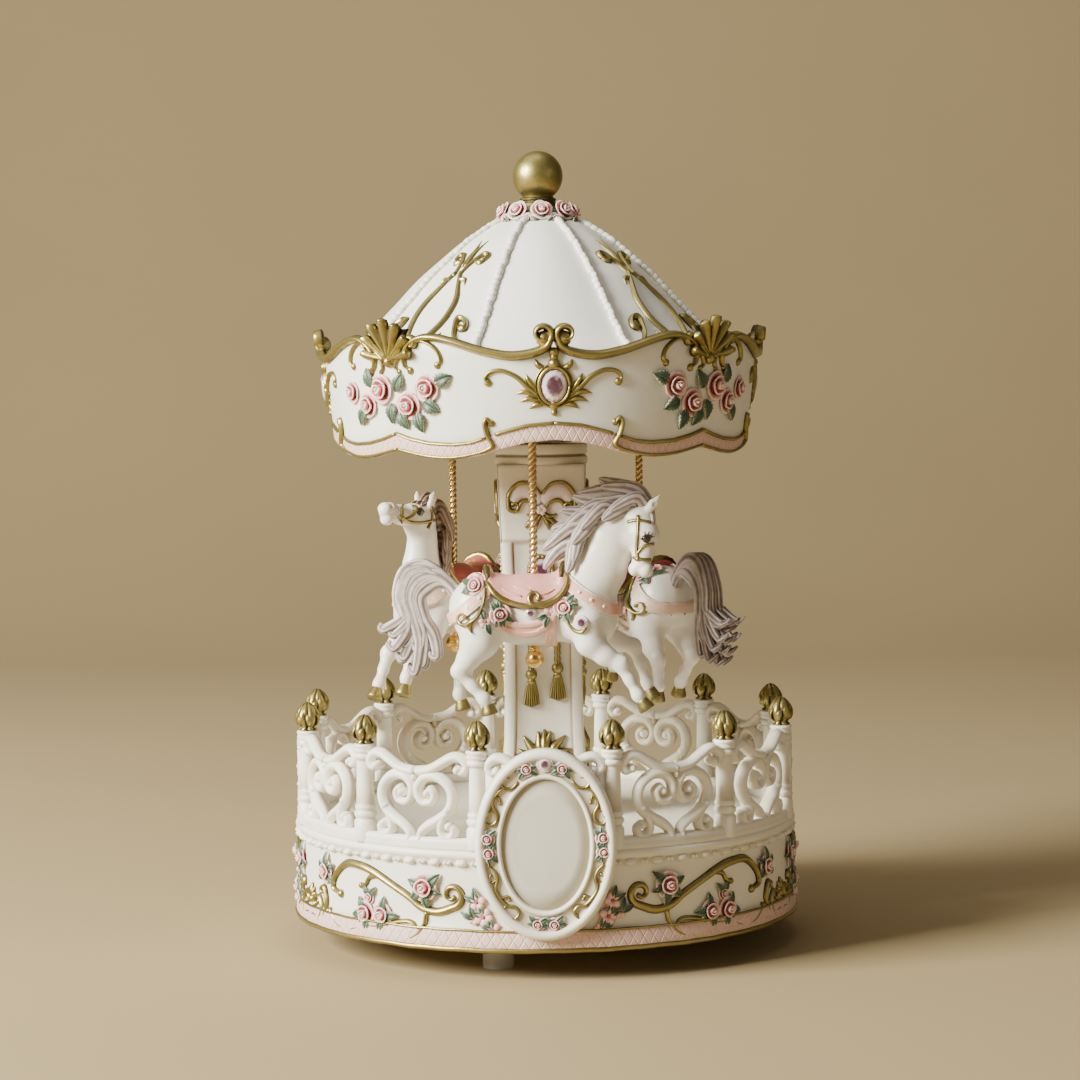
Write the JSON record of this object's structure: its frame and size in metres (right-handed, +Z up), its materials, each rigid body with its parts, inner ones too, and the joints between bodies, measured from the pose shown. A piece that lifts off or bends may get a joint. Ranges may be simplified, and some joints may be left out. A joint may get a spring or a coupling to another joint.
{
  "type": "carousel music box",
  "caption": "Wind-up carousel music box: a fenced round base with an oval photo frame, a column, and a canopy that turns with its horses.",
  "frame": {"origin": "on the turning axis at the table plane, under the centre of the round base", "axes": "+Z up along the turning axis, -Y towards the oval photo frame, +X to the right seen from the front"},
  "size_m": [0.1626, 0.1656, 0.2504],
  "materials": {
    "resin": "semi-gloss ivory cast resin",
    "roof_resin": "semi-gloss ivory cast resin",
    "gold_paint": "antique gold paint on cast resin",
    "rose_paint": "pink roses with green leaves, painted",
    "gem": "faceted lilac glass stone",
    "brass": "polished twisted brass",
    "horse_resin": "glossy white resin, hand painted",
    "plastic_white": "moulded white plastic",
    "felt_card": "cream card",
    "base_cover": "moulded cream plastic",
    "foot_rubber": "translucent white rubber",
    "steel": "plain steel",
    "spring_steel": "blued spring steel",
    "zinc": "die-cast zinc alloy",
    "nylon": "natural nylon",
    "brass_dull": "satin brass"
  },
  "bodies": {
    "root": {"base_drum": "resin", "base_plate": "base_cover", "base_plate_screws": "steel", "feet": "foot_rubber", "fence_panels": "resin", "fence_posts": "resin", "post_buds": "gold_paint", "column": "resin", "column_collar": "plastic_white", "photo_frame": "resin", "photo_card": "felt_card", "frame_gem": "gem", "base_roses": "rose_paint", "bedplate": "zinc", "bedplate_screws": "steel", "comb": "steel", "comb_screws": "steel", "cylinder_bearings": "zinc", "governor_bracket": "zinc", "clutch_spring": "spring_steel"},
    "canopy": {"canopy_shell": "roof_resin", "canopy_ceiling": "plastic_white", "canopy_hub": "plastic_white", "hub_nut": "steel", "drive_shaft": "steel", "finial_ball": "gold_paint", "rose_crown": "rose_paint", "fascia_roses": "rose_paint", "canopy_gems": "gem", "pole_front": "brass", "pole_right": "brass", "pole_left": "brass", "pole_balls": "brass", "horse_front": "horse_resin", "horse_right": "horse_resin", "horse_left": "horse_resin", "spring_barrel": "brass_dull", "barrel_cover": "brass_dull", "mainspring": "spring_steel"},
    "key": {"winding_key": "steel", "winding_arbor": "steel"},
    "cylinder": {"melody_cylinder": "brass_dull", "cylinder_arbor": "steel", "cylinder_pinion": "brass_dull", "cylinder_wheel": "nylon"},
    "governor": {"governor_worm": "steel", "governor_fan": "nylon"}
  },
  "joints": [
    {"name": "canopy_spin", "type": "hinge", "parent": "root", "child": "canopy", "pos_m": [0, 0, 0.16], "axis": [0, 0, 1], "continuous": true},
    {"name": "key_spin", "type": "hinge", "parent": "root", "child": "key", "pos_m": [0, 0, 0.01], "axis": [0, 0, 1], "continuous": true},
    {"name": "cylinder_spin", "type": "hinge", "parent": "root", "child": "cylinder", "pos_m": [0.028, 0, 0.026], "axis": [1, 0, 0], "continuous": true},
    {"name": "governor_spin", "type": "hinge", "parent": "root", "child": "governor", "pos_m": [0.0388, 0.00807, 0.026], "axis": [0, 0, 1], "continuous": true}
  ],
  "couplings": [
    {"joint": "cylinder_spin", "follows": "canopy_spin", "ratio": 3},
    {"joint": "governor_spin", "follows": "canopy_spin", "ratio": -120}
  ]
}
